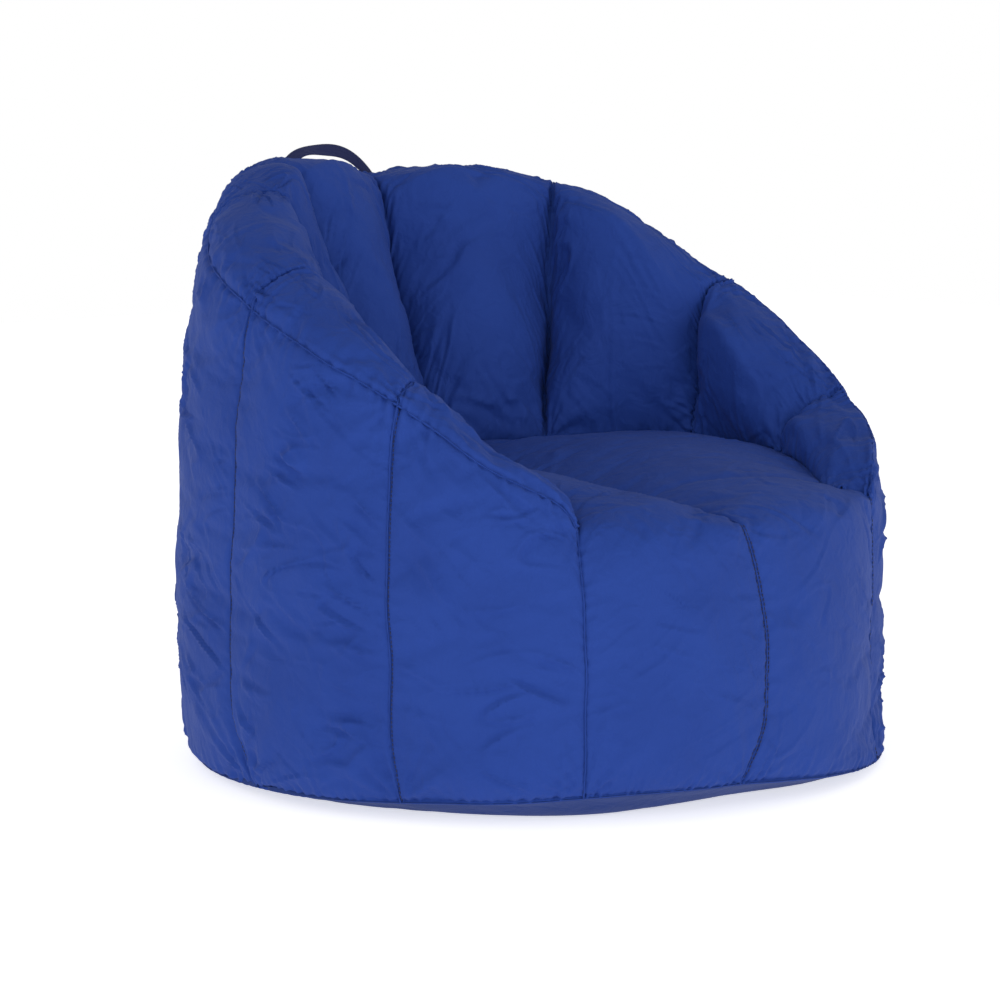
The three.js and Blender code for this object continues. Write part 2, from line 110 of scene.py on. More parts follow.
FRAMES = 24                        # length of the simulation
SWELL_LIMIT = 0.022                # how far the simulation may move a point
GATHER_HEIGHT = 0.0013             # height of the gathers along a seam, and their spacing
GATHER_SPACING = 0.016
RUFFLE = 0.0004                    # height of the slow unevenness all over the cloth
HANDLE_RISE = 0.039                # height of the handle's arch over its ends
HANDLE_WIDTH = 0.025
BEAD_DEPTH = 0.010                 # how far the beads lie behind the cloth
WEB_THICKNESS = 0.0008
FOLD_SEED = 7

# Values at the seams, from the right's fifth (k = -5) round the front to the left's fifth.
# Heights, rises and drops are in metres; radii, edges and the belly are shares of RADIUS.
# CROWN: a pillow's rise over the rim seam. NOTCH: the inner seam's dip on its way over the top.
# INNER_EDGE: where the top turns down to the inside. FLAT_RADIUS: where the base leaves the floor.
RIM_HEIGHT = [0.690, 0.650, 0.563, 0.469, 0.332, 0.262, 0.332, 0.433, 0.562, 0.664, 0.692]
RIM_RADIUS = [0.918, 0.902, 0.932, 0.934, 0.937, 0.937, 0.965, 0.952, 0.918, 0.91, 0.912]
CROWN = [0.032, 0.039, 0.046, 0.026, 0.016, 0.0, -0.002, -0.004, 0.006, 0.029, 0.013]
NOTCH = [0.005, 0.003, 0.003, 0.003, 0.003, 0.0, 0.008, 0.016, 0.009, 0.001, 0.006]
INNER_EDGE = [0.66, 0.66, 0.664, 0.727, 0.862, 0.94, 0.862, 0.727, 0.664, 0.66, 0.66]
CREASE_RADIUS = [0.42, 0.51, 0.735, 0.745, 0.83, 0.97, 0.83, 0.745, 0.735, 0.51, 0.42]
CREASE_DROP = [0.0, 0.0, 0.0, 0.0, 0.020, 0.024, 0.020, 0.0, 0.0, 0.0, 0.0]
BELLY = [0.995, 0.992, 0.994, 0.998, 0.998, 0.998, 0.985, 0.988, 0.995, 1.0, 1.0]
BASE_HEIGHT = [0.012, 0.010, 0.012, 0.022, 0.032, 0.034, 0.011, 0.008, 0.012, 0.012, 0.012]
BASE_RADIUS = [0.955, 0.955, 0.962, 0.966, 0.962, 0.970, 1.0, 1.0, 0.97, 0.955, 0.955]
FLAT_RADIUS = [0.87, 0.87, 0.87, 0.80, 0.81, 0.745, 0.92, 0.96, 0.90, 0.87, 0.87]
# How far a seam strays round the barrel, in sections: at mid height, near the floor, and high up.
TURN_MIDDLE = [0.40, 0.0, 0.05, 0.07, -0.02, -0.10, 0.04, 0.0, -0.02, 0.10, 0.37]
TURN_LOW = [0.0, 0.0, 0.12, 0.03, 0.0, -0.13, 0.0, 0.0, 0.0, 0.0, 0.0]
TURN_HIGH = [0.0, 0.0, 0.04, -0.01, -0.02, -0.06, 0.0, 0.0, 0.0, 0.0, 0.02]
# The inner seams cut across behind the pillows: two points on each, as radius and height.
HOLLOW_1_RADIUS = [0.81, 0.82, 0.83, 0.835, 0.90, 0.92, 0.90, 0.880, 0.862, 0.865, 0.83]
HOLLOW_1_HEIGHT = [0.630, 0.590, 0.497, 0.435, 0.345, 0.33, 0.345, 0.410, 0.483, 0.575, 0.622]
HOLLOW_2_RADIUS = [0.62, 0.64, 0.69, 0.765, 0.865, 0.9, 0.865, 0.82, 0.765, 0.715, 0.66]
HOLLOW_2_HEIGHT = [0.47, 0.455, 0.415, 0.39, 0.34, 0.33, 0.34, 0.385, 0.412, 0.455, 0.47]


def ring(table, k):
    """Smooth value of a table of seams at seam positions k."""
    table = np.asarray(table, float)
    k = np.asarray(k, float)
    i = np.floor(k).astype(int)
    f = k - i
    before, a, b, after = (table[(i + n + 5) % SECTIONS] for n in (-1, 0, 1, 2))
    slope_a = (b - before) / 2
    slope_b = (after - a) / 2
    f2 = f * f
    f3 = f2 * f
    return (a * (2 * f3 - 3 * f2 + 1) + slope_a * (f3 - 2 * f2 + f)
            + b * (3 * f2 - 2 * f3) + slope_b * (f3 - f2))


def smoothstep(x, low, high):
    f = np.clip((x - low) / (high - low), 0, 1)
    return f * f * (3 - 2 * f)


def place(k, radius, height):
    """Points at seam positions, radii and heights."""
    low = 1 - smoothstep(height, 0.01, 0.13)
    high = smoothstep(height, 0.22, 0.36)
    turn = ring(TURN_MIDDLE, k) + low * ring(TURN_LOW, k) + high * ring(TURN_HIGH, k)
    angle = (k + turn) * STEP
    height = np.broadcast_to(height, np.shape(angle))
    return np.stack([radius * np.sin(angle), PLAN_SHIFT - radius * np.cos(angle), height], -1)


def valley(k):
    """1 on a seam, 0 half way between two seams."""
    return 0.5 + 0.5 * np.cos(2 * math.pi * k)


def rim_height(k):
    """Height of the rim seam, with the rounded nose at the front of each arm."""
    left = np.asarray(k) > 0
    past = np.clip(np.abs(k) - 1, 0, None) / np.where(left, 0.24, 0.12)
    nose = np.where(left, 0.026, 0.020) * past * np.exp(1 - past)
    return ring(RIM_HEIGHT, k) + nose


def on_right_arm(k):
    """1 over the right arm, fading to 0 at its front end and behind the back."""
    return smoothstep(-k, 0.5, 1.5) * (1 - smoothstep(-k, 4.4, 5.0))


def wall_radius(k, height, top):
    """Outside radius of the wall at a height."""
    belly = RADIUS * ring(BELLY, k) * (1 - SEAM_VALLEY * valley(k))
    base = ring(BASE_HEIGHT, k)
    down = np.clip((BELLY_HEIGHT - height) / (BELLY_HEIGHT - base), 0, 1)
    up = np.clip((height - BELLY_HEIGHT) / (top - BELLY_HEIGHT), 0, 1)
    low = 1 - (1 - ring(BASE_RADIUS, k) / ring(BELLY, k)) * down ** 4
    fullness = 2.3 + 2.2 * on_right_arm(k)
    high = 1 - (1 - ring(RIM_RADIUS, k) / ring(BELLY, k)) * up ** fullness
    return belly * low * high


# ---------- Grids of points ----------


def resample(line, count):
    """The line's points, evenly spaced along it."""
    run = np.r_[0, np.cumsum(np.linalg.norm(np.diff(line, axis=0), axis=1))]
    at = np.linspace(0, run[-1], count)
    return np.stack([np.interp(at, run, line[:, i]) for i in range(line.shape[1])], -1)


def spline(points, count):
    """A smooth line through the points, evenly resampled."""
    points = np.asarray(points, float)
    ends = np.vstack([2 * points[0] - points[1], points, 2 * points[-1] - points[-2]])
    f = np.linspace(0, 1, 13)[:, None]
    parts = []
    for i in range(1, len(ends) - 2):
        p0, p1, p2, p3 = ends[i - 1:i + 3]
        parts.append(0.5 * (2 * p1 + (p2 - p0) * f + (2 * p0 - 5 * p1 + 4 * p2 - p3) * f ** 2
                            + (3 * p1 - p0 - 3 * p2 + p3) * f ** 3)[:-1])
    return resample(np.vstack([*parts, points[-1:]]), count)


def rows_for(length):
    return max(int(round(length / CELL)), 8)


def outer_grid(k0, k1):
    """The outside of a wall section, columns from seam to seam, each from the floor up."""
    across = rows_for(RADIUS * STEP)
    k = np.linspace(k0, k1, across + 1)
    top = rim_height(k)
    rows = rows_for(top.mean())
    share = np.linspace(0, 1, rows + 1)[None, :]
    base = ring(BASE_HEIGHT, k)[:, None]
    height = base + (top[:, None] - base) * share
    kk = np.broadcast_to(k[:, None], height.shape)
    return place(kk, wall_radius(kk, height, top[:, None]), height)


def pillow_line(k, count):
    """Over the rim and down the inside in the middle of a section, as radius and height."""
    top = float(rim_height(k))
    rim = float(wall_radius(k, top, top)) / RADIUS
    rise = float(ring(CROWN, k))
    edge = float(ring(INNER_EDGE, k))
    crease = float(ring(CREASE_RADIUS, k))
    crease_height = CREASE_HEIGHT - float(ring(CREASE_DROP, k))
    edge_height = max(top + 0.62 * rise - 0.006, crease_height + 0.004)
    swell = min(0.045, (edge_height - crease_height) * 0.17)
    shoulder = max(rise, 0.008)
    points = [(rim, top)]
    for share, lift in ((0.04, 0.28 * shoulder), (0.18, 0.62 * rise), (0.46, 0.93 * rise),
                        (0.80, rise)):
        points.append((rim + (edge - rim) * share, top + lift))
    for share, out in ((0, 0), (0.3, 0.8), (0.6, 1.0), (0.85, 0.6), (1, 0)):
        points.append((edge + (crease - edge) * share - swell * out,
                       edge_height + (crease_height - edge_height) * share))
    return spline(points, count)


def sinking(k, count):
    """How much of its depth an inner seam has on the way from the rim seam to the crease.

    The seams of the right arm stay shallow over its top.
    """
    shallow = float(on_right_arm(k))
    return smoothstep(np.linspace(0, 1, count), 0.06 + 0.22 * shallow,
                      0.66 + 0.14 * shallow)[:, None]


def hollow_line(k, count):
    """The inner seam's own line, from the rim seam down to the crease."""
    top = float(rim_height(k))
    rim = float(wall_radius(k, top, top)) / RADIUS
    crease_height = CREASE_HEIGHT - float(ring(CREASE_DROP, k))
    points = [(rim, top),
              (float(ring(HOLLOW_1_RADIUS, k)), float(ring(HOLLOW_1_HEIGHT, k))),
              (float(ring(HOLLOW_2_RADIUS, k)), float(ring(HOLLOW_2_HEIGHT, k))),
              (float(ring(CREASE_RADIUS, k)), crease_height)]
    along = np.linspace(0, 1, count)
    crest = pillow_line(k, count)
    crest[:, 1] -= ring(NOTCH, k) * np.sin(math.pi * np.clip(along / 0.5, 0, 1)) ** 0.5
    return crest + (spline(points, count) - crest) * sinking(k, count)


def inner_grid(k0):
    """The inside of a wall section: a pillow between two deep seams."""
    middle = pillow_line(k0 + 0.5, 200)
    length = RADIUS * np.linalg.norm(np.diff(middle, axis=0) * [1, 1 / RADIUS], axis=1).sum()
    rows = rows_for(length)
    across = rows_for(RADIUS * STEP)
    grid = []
    for w in np.linspace(0, 1, across + 1):
        f = 0.45 * w + 0.55 * 0.5 * (1 - math.cos(math.pi * w))
        k = k0 + f
        full = max(math.sin(math.pi * w), 0) ** (0.30 + 0.4 * sinking(k, rows + 1))
        line = pillow_line(k, rows + 1) * full + hollow_line(k, rows + 1) * (1 - full)
        grid.append(place(np.full(rows + 1, k), RADIUS * line[:, 0], line[:, 1]))
    return np.array(grid)


def crease_point(k):
    return place(k, RADIUS * ring(CREASE_RADIUS, k), CREASE_HEIGHT - ring(CREASE_DROP, k))


def seat_surface(side, u, v):
    """The seat's top: u from the middle seam to the arm, v from the front edge to the back."""
    def front(f):
        return place(side * f, RADIUS * ring(RIM_RADIUS, side * f), FRONT_TOP)

    def lerp(a, b, f):
        return a + (b - a) * f

    u3 = u[..., None]
    v3 = v[..., None]
    corner_a = front(np.array(0.0))
    corner_b = front(np.array(1.0))
    corner_c = crease_point(side * np.array(BACK_CORNER))
    corner_d = crease_point(side * np.array(MIDDLE_OF_BACK))
    back = crease_point(side * (MIDDLE_OF_BACK + (BACK_CORNER - MIDDLE_OF_BACK) * u))
    middle = lerp(corner_a, corner_d, v3)
    past = np.clip((v - ARM_END) / (1 - ARM_END), 0, 1)
    arm = np.where(v3 < ARM_END, lerp(corner_b, crease_point(side * np.array(1.0)), v3 / ARM_END),
                   crease_point(side * (1 + (BACK_CORNER - 1) * past)))
    corners = lerp(lerp(corner_a, corner_b, u3), lerp(corner_d, corner_c, u3), v3)
    point = lerp(front(u), back, v3) + lerp(middle, arm, u3) - corners
    arch = np.sin(math.pi * u) ** 0.6
    crown = SEAT_CROWN[side] * arch - MIDDLE_DROP * (1 - arch) * (u < 0.5)
    crown *= np.sin(math.pi * np.clip(v, 0, 1)) ** 0.55
    shoulder = np.clip(v / 0.12, 0, 1) * 0.008 * (1 - v)
    point[..., 2] += crown + shoulder
    return point


def rounded(line, reach):
    """The line with its corner rounded off; its two ends stay."""
    line = resample(line, 260)
    step = np.linalg.norm(np.diff(line, axis=0), axis=1).mean()
    width = int(reach / step) | 1
    pad = np.vstack([2 * line[0] - line[width:0:-1], line, 2 * line[-1] - line[-2:-width - 2:-1]])
    kernel = np.hanning(width + 2)[1:-1]
    kernel /= kernel.sum()
    smooth = np.stack([np.convolve(pad[:, i], kernel, "same") for i in range(3)], -1)
    return smooth[width:-width]


def seat_grid(side):
    """One seat panel: up the front from the base seam, then back over the seat."""
    across = rows_for(0.30)
    rows = rows_for(0.86)
    grid = []
    for u in np.linspace(0, 1, across + 1):
        k = side * u
        base = float(ring(BASE_HEIGHT, k))
        height = np.linspace(base, FRONT_TOP, 40)
        wall = place(np.full(40, k), wall_radius(k, height, FRONT_TOP), height)
        v = np.linspace(0, 1, 90)
        top = seat_surface(side, np.full(90, u), v)
        line = rounded(np.vstack([wall[:-1], top]), 0.060)
        grid.append(resample(line, rows + 1))
    return np.array(grid)


rng = np.random.default_rng(FOLD_SEED)


def waves(points, wavelength, count=20, source=rng):
    """A smooth random field over the points, about -1 to 1."""
    directions = source.normal(size=(count, points.shape[-1]))
    directions /= np.linalg.norm(directions, axis=1, keepdims=True)
    numbers = 2 * math.pi / wavelength * source.uniform(0.6, 1.4, count)
    phases = source.uniform(0, 2 * math.pi, count)
    return np.cos(points @ (directions * numbers[:, None]).T + phases).sum(-1) / math.sqrt(count)


WALL = [("arm_front", 1), ("arm_middle", 2), ("arm_rear", 3), ("back_side", 4)]
SIDES = {"left": 1, "right": -1}


def wall_sections():
    """Name and lower seam position of each of the nine wall sections."""
    found = []
    for word, side in SIDES.items():
        for name, k in WALL:
            found.append((f"{name}_{word}", k if side > 0 else -k - 1))
    found.append(("back_centre", 5))
    return found


def normals_of(grid):
    along = np.gradient(grid, axis=1)
    across = np.gradient(grid, axis=0)
    normal = np.cross(across, along)
    return normal / np.maximum(np.linalg.norm(normal, axis=-1, keepdims=True), 1e-12)


def facing(grid, outward):
    """The grid with its columns in the order that makes its normals face outward."""
    middle = grid[grid.shape[0] // 2, grid.shape[1] // 2]
    normal = normals_of(grid)[grid.shape[0] // 2, grid.shape[1] // 2]
    return grid if float(normal @ outward(middle)) > 0 else grid[::-1]


def away(p):
    return np.array([p[0], p[1], 0])


def inward(p):
    return np.array([-p[0], -p[1], 0.2])


def upward(p):
    return np.array([0, -0.1, 1])


WOBBLE_SEEDS = [rng.integers(1, 1 << 30) for _ in range(3)]


def wobbled(grid):
    """The grid with a slow random shift, the same for all panels, so that seams still meet."""
    out = grid.copy()
    grip = smoothstep(grid[..., 2], 0.0, 0.08)
    for axis, seed in enumerate(WOBBLE_SEEDS):
        source = np.random.default_rng(seed)
        slow = waves(grid, 0.20, 12, source) * 0.0016
        out[..., axis] += (slow + waves(grid, 0.09, 12, source) * 0.0012) * grip
    return out


panels = {}
for name, k in wall_sections():
    panels[f"outer_panel_{name}"] = facing(wobbled(outer_grid(k, k + 1)), away)
    panels[f"inner_panel_{name}"] = facing(wobbled(inner_grid(k)), inward)
for word, side in SIDES.items():
    panels[f"seat_panel_{word}"] = facing(wobbled(seat_grid(side)), upward)

# ---------- Cloth simulation ----------


def grid_faces(columns, rows, start=0):
    i = np.arange(columns - 1)[:, None] * rows + np.arange(rows - 1)[None, :] + start
    return np.stack([i, i + rows, i + rows + 1, i + 1], -1).reshape(-1, 4)


def mesh_object(name, points, faces, smooth=True):
    mesh = bpy.data.meshes.new(name)
    corners = [tuple(map(int, f)) for f in faces]
    mesh.from_pydata([tuple(p) for p in np.asarray(points, float)], [], corners)
    mesh.update()
    if smooth:
        mesh.polygons.foreach_set("use_smooth", [True] * len(mesh.polygons))
    piece = bpy.data.objects.new(name, mesh)
    bpy.context.scene.collection.objects.link(piece)
    return piece


def border_weight(grid, reach):
    """1 on the grid's border, fading to 0 at a distance into it, in metres."""
    columns, rows = grid.shape[:2]
    i = np.minimum(np.arange(columns), np.arange(columns)[::-1])[:, None]
    j = np.minimum(np.arange(rows), np.arange(rows)[::-1])[None, :]
    distance = np.minimum(i + 0 * j, j + 0 * i) * CELL
    return np.clip(1 - distance / reach, 0, 1)


def inflated(grids):
    """The grids after a pressure simulation, with their seams held."""
    points, faces, held, loose = [], [], [], []
    start = 0
    for grid in grids.values():
        columns, rows = grid.shape[:2]
        faces.append(grid_faces(columns, rows, start))
        points.append(grid.reshape(-1, 3))
        held.append((border_weight(grid, CELL * 0.5) > 0.9).reshape(-1))
        loose.append(border_weight(grid, 0.055).reshape(-1))
        start += columns * rows
    cloth = mesh_object("cloth_model", np.vstack(points), np.vstack(faces))
    held = np.hstack(held)
    loose = np.hstack(loose)
    pins = cloth.vertex_groups.new(name="seams")
    pins.add([int(i) for i in np.nonzero(held)[0]], 1.0, "REPLACE")
    slack = cloth.vertex_groups.new(name="slack")
    for level in range(1, 11):
        chosen = np.nonzero(np.round(loose * 10).astype(int) == level)[0]
        slack.add([int(i) for i in chosen], level / 10, "REPLACE")
    modifier = cloth.modifiers.new("cloth", "CLOTH")
    settings = modifier.settings
    settings.quality = 6
    settings.mass = 0.25
    settings.tension_stiffness = 22
    settings.compression_stiffness = 12
    settings.shear_stiffness = 4
    settings.bending_stiffness = 0.15
    settings.tension_damping = 12
    settings.compression_damping = 12
    settings.shear_damping = 8
    settings.bending_damping = 1
    settings.use_pressure = True
    settings.uniform_pressure_force = 2.5
    settings.vertex_group_mass = "seams"
    settings.vertex_group_shrink = "slack"
    settings.shrink_min = -0.012
    settings.shrink_max = -0.085
    settings.effector_weights.gravity = 0
    modifier.collision_settings.use_collision = False
    modifier.point_cache.frame_start = 1
    modifier.point_cache.frame_end = FRAMES
    scene = bpy.context.scene
    for number in range(1, FRAMES + 1):
        scene.frame_set(number)
    graph = bpy.context.evaluated_depsgraph_get()
    result = cloth.evaluated_get(graph).to_mesh()
    moved = np.zeros(len(held) * 3)
    result.vertices.foreach_get("co", moved)
    moved = moved.reshape(-1, 3)
    cloth.evaluated_get(graph).to_mesh_clear()
    scene.frame_set(1)
    bpy.data.objects.remove(cloth)
    out = {}
    start = 0
    for name, grid in grids.items():
        count = grid.shape[0] * grid.shape[1]
        shift = moved[start:start + count].reshape(grid.shape) - grid
        length = np.linalg.norm(shift, axis=-1, keepdims=True)
        cap = np.minimum(1, SWELL_LIMIT / np.maximum(length, 1e-9))
        out[name] = grid + shift * cap
        start += count
    return out


panels = inflated(panels)

# ---------- Finished cloth ----------

def fine_positions(count):
    """Where the finished grid's lines lie, in steps of the old one: denser near the seams."""
    length = (count - 1) * CELL
    near = np.array([0, 0.0009, 0.0018, 0.0030, 0.0045, 0.0065])
    inside = max(int(round((length - 0.018) / FINE)), 4)
    middle = np.linspace(0.009, length - 0.009, inside)
    return np.concatenate([near, middle, length - near[::-1]]) / CELL


def cubic_weights(positions, count):
    """Rows of weights that read a smooth line through count values at the positions."""
    weights = np.zeros((len(positions), count))
    for row, at in enumerate(positions):
        i = min(int(at), count - 2)
        f = at - i
        parts = (-0.5 * f + f * f - 0.5 * f ** 3, 1 - 2.5 * f * f + 1.5 * f ** 3,
                 0.5 * f + 2 * f * f - 1.5 * f ** 3, -0.5 * f * f + 0.5 * f ** 3)
        for n, part in zip((-1, 0, 1, 2), parts):
            j = i + n
            if j < 0:
                weights[row, 0] += 2 * part
                weights[row, 1] -= part
            elif j >= count:
                weights[row, count - 1] += 2 * part
                weights[row, count - 2] -= part
            else:
                weights[row, j] += part
    return weights


def ridges(count, spacing):
    """A random row of ridges along a seam: their heights, and how far each runs into the cloth."""
    at = np.arange(count)[:, None] * FINE
    height = waves(at, spacing, 14)
    reach = 0.008 + 0.028 * np.clip(waves(at, 0.06, 8), 0, 1.5) ** 1.5
    return height, reach


# Folds that cross a panel: their length, their spacing, how much they lean, and their height.
FOLDS = [(0.24, 0.075, 0.35, 0.0025), (0.17, 0.058, -0.40, 0.0019), (0.12, 0.048, 0.6, 0.0011)]


def finished(grid, long_ridges, tucks, gathered, creased):
    """The grid at its finished spacing, with tucked seams, gathers and folds.

    long_ridges: how far the gathers run in from the first and the last row, as a factor.
    tucks: how deep the seams at the first and the last row are drawn in.
    gathered: how strong the gathers along the upright seams are, and how deep those seams are.
    creased: how strong the folds and creases are.
    """
    columns, rows = grid.shape[:2]
    at_u = fine_positions(columns)
    at_v = fine_positions(rows)
    wu = cubic_weights(at_u, columns)
    wv = cubic_weights(at_v, rows)
    fine = np.einsum("ai,ijc,bj->abc", wu, grid, wv)
    normal = normals_of(fine)
    from_u = at_u * CELL
    from_v = at_v * CELL
    to_u = (columns - 1 - at_u) * CELL
    to_v = (rows - 1 - at_v) * CELL
    edge = np.minimum(np.minimum(from_u, to_u)[:, None], np.minimum(from_v, to_v)[None, :])
    shift = np.zeros(fine.shape[:2])
    corner = np.hypot(np.minimum(from_u, to_u)[:, None], np.minimum(from_v, to_v)[None, :])
    pinch = 1 + 1.6 * np.exp(-corner / 0.03)
    borders = ((from_u, 1, 1, *gathered), (to_u, 1, 1, *gathered),
               (from_v, 0, long_ridges[0], 0.8, tucks[0]), (to_v, 0, long_ridges[1], 1.0, tucks[1]))
    for distance, other, stretch, strength, tuck in borders:
        height, reach = ridges(fine.shape[other], GATHER_SPACING)
        if other == 1:
            apart = distance[:, None] + 0 * height[None, :]
            ridge = height[None, :] * np.exp(-apart / (reach * stretch)[None, :])
        else:
            apart = distance[None, :] + 0 * height[:, None]
            ridge = height[:, None] * np.exp(-apart / (reach * stretch)[:, None])
        shift += GATHER_HEIGHT * strength * ridge * pinch
        shift -= tuck * np.exp(-(apart / (tuck + 0.001)) ** 1.3)
    for end_u in (from_u, to_u):
        for end_v, share in ((from_v, tucks[0]), (to_v, tucks[1])):
            away_u, away_v = np.meshgrid(end_u, end_v, indexing="ij")
            reach = np.hypot(away_u, away_v) + 1e-6
            turn = np.arctan2(away_u, away_v)
            rays = np.stack([np.cos(turn * 4), np.sin(turn * 4)], -1)
            folds = waves(rays, 1.4, 10)
            shift += (share * 0.75 * creased ** 0.5 * folds * np.exp(-reach / 0.075)
                      * smoothstep(reach, 0.004, 0.045))
    calm = smoothstep(edge, 0, 0.028)
    cloth = np.stack(np.meshgrid(from_u, from_v, indexing="ij"), -1)
    for wide, tall, lean, height in FOLDS:
        skewed = np.stack([cloth[..., 0] / wide, (cloth[..., 1] + lean * cloth[..., 0]) / tall], -1)
        line = waves(skewed, 1.0, 16)
        where = np.clip(waves(cloth, 0.16, 10) + 0.05, 0, 1)
        crest = np.exp(-np.abs(line) / 0.12) - 0.7 * np.exp(-((line - 0.36) / 0.18) ** 2)
        shift += creased * height * crest * where * calm
    shift += waves(fine, 0.05, 20) * RUFFLE * calm
    out = fine + normal * (shift * (edge > 0))[..., None]
    out[..., 2] = np.maximum(out[..., 2], LIFT)
    return out


def cloth_coordinates(grid):
    """Distance across and along the cloth at each point, for its weave."""
    along = np.linalg.norm(np.diff(grid, axis=1), axis=-1).mean(0)
    across = np.linalg.norm(np.diff(grid, axis=0), axis=-1).mean(1)
    u = np.r_[0, np.cumsum(across)]
    v = np.r_[0, np.cumsum(along)]
    return np.stack(np.meshgrid(u, v, indexing="ij"), -1)


def sheet_piece(name, grid, thickness=CLOTH):
    """A closed piece of cloth: the grid in front, a copy behind it, and its edges joined."""
    columns, rows = grid.shape[:2]
    count = columns * rows
    back = grid - normals_of(grid) * thickness
    front_faces = grid_faces(columns, rows)
    back_faces = front_faces[:, ::-1] + count
    ring_ids = np.concatenate([
        np.arange(columns) * rows,
        (columns - 1) * rows + np.arange(1, rows),
        np.arange(columns - 2, -1, -1) * rows + rows - 1,
        np.arange(rows - 2, 0, -1)])
    following = np.roll(ring_ids, -1)
    rim = np.stack([ring_ids, ring_ids + count, following + count, following], -1)
    points = np.concatenate([grid.reshape(-1, 3), back.reshape(-1, 3)])
    piece = mesh_object(name, points, np.vstack([front_faces, back_faces, rim]))
    weave = cloth_coordinates(grid).reshape(-1, 2)
    layer = piece.data.attributes.new("cloth", "FLOAT_VECTOR", "POINT")
    values = np.zeros((2 * count, 3))
    values[:, :2] = np.vstack([weave, weave])
    layer.data.foreach_set("vector", values.reshape(-1))
    return piece


# ---------- Materials ----------


def new_material(name):
    material = bpy.data.materials.new(name)
    material.use_nodes = True
    nodes = material.node_tree.nodes
    return material, nodes, material.node_tree.links, nodes["Principled BSDF"]


def settle(node, values):
    """Sets a node's inputs by their names."""
    for name, value in values.items():
        node.inputs[name].default_value = value


def wave_node(nodes, links, source, pitch, axis):
    node = nodes.new("ShaderNodeTexWave")
    node.bands_direction = axis
    settle(node, {"Scale": math.pi / 10 / pitch})
    links.new(source, node.inputs["Vector"])
    return node


def fabric(name, color, dark, pitch=0.0011, rough=0.78, sheen=0.0525, weave=0.5):
    """Plain-woven cloth: two crossed sets of threads, slubs and soft colour variation."""
    material, nodes, links, shader = new_material(name)
    settle(shader, {"Roughness": rough, "Sheen Weight": sheen, "Sheen Roughness": 0.5,
                    "Sheen Tint": (0.35, 0.45, 0.9, 1), "Specular IOR Level": 0.22})
    cloth = nodes.new("ShaderNodeAttribute")
    cloth.attribute_name = "cloth"
    warp = wave_node(nodes, links, cloth.outputs["Vector"], pitch, "X")
    weft = wave_node(nodes, links, cloth.outputs["Vector"], pitch, "Y")
    crossed = nodes.new("ShaderNodeMath")
    crossed.operation = "MULTIPLY"
    links.new(warp.outputs["Fac"], crossed.inputs[0])
    links.new(weft.outputs["Fac"], crossed.inputs[1])
    place_node = nodes.new("ShaderNodeTexCoord")
    mottle = nodes.new("ShaderNodeTexNoise")
    settle(mottle, {"Scale": 9, "Detail": 6})
    links.new(place_node.outputs["Object"], mottle.inputs["Vector"])
    mix = nodes.new("ShaderNodeMix")
    mix.data_type = "RGBA"
    settle(mix, {"A": (*dark, 1), "B": (*color, 1)})
    amount = nodes.new("ShaderNodeMapRange")
    settle(amount, {"From Min": 0.3, "From Max": 0.6, "To Min": 0.35})
    links.new(mottle.outputs["Fac"], amount.inputs["Value"])
    threads = nodes.new("ShaderNodeMath")
    threads.operation = "MULTIPLY_ADD"
    threads.inputs[1].default_value = 0.25
    links.new(crossed.outputs[0], threads.inputs[0])
    links.new(amount.outputs["Result"], threads.inputs[2])
    links.new(threads.outputs[0], mix.inputs["Factor"])
    links.new(mix.outputs["Result"], shader.inputs["Base Color"])
    grain = nodes.new("ShaderNodeTexNoise")
    settle(grain, {"Scale": 260, "Detail": 3})
    links.new(place_node.outputs["Object"], grain.inputs["Vector"])
    crumple = nodes.new("ShaderNodeTexNoise")
    settle(crumple, {"Scale": 34, "Detail": 5, "Distortion": 0.6})
    links.new(place_node.outputs["Object"], crumple.inputs["Vector"])
    fine_bump = nodes.new("ShaderNodeBump")
    settle(fine_bump, {"Strength": weave, "Distance": 0.0002})
    height = nodes.new("ShaderNodeMath")
    height.operation = "MULTIPLY_ADD"
    height.inputs[1].default_value = 0.8
    links.new(grain.outputs["Fac"], height.inputs[0])
    links.new(crossed.outputs[0], height.inputs[2])
    links.new(height.outputs[0], fine_bump.inputs["Height"])
    broad_bump = nodes.new("ShaderNodeBump")
    settle(broad_bump, {"Strength": 0.5, "Distance": 0.008})
    links.new(crumple.outputs["Fac"], broad_bump.inputs["Height"])
    links.new(fine_bump.outputs["Normal"], broad_bump.inputs["Normal"])
    links.new(broad_bump.outputs["Normal"], shader.inputs["Normal"])
    return material


cover_blue = fabric("cover_fabric", (0.0125, 0.046, 0.262), (0.0095, 0.037, 0.222))
base_blue = fabric("base_fabric", (0.011, 0.033, 0.165), (0.008, 0.026, 0.130))
lining = fabric("lining_fabric", (0.02, 0.04, 0.15), (0.015, 0.03, 0.12))
webbing = fabric("webbing", (0.012, 0.018, 0.085), (0.006, 0.010, 0.050), 0.0021, 0.7, 0.03, 1.0)
tape_black = fabric("zip_tape", (0.012, 0.012, 0.016), (0.007, 0.007, 0.010), 0.0009)


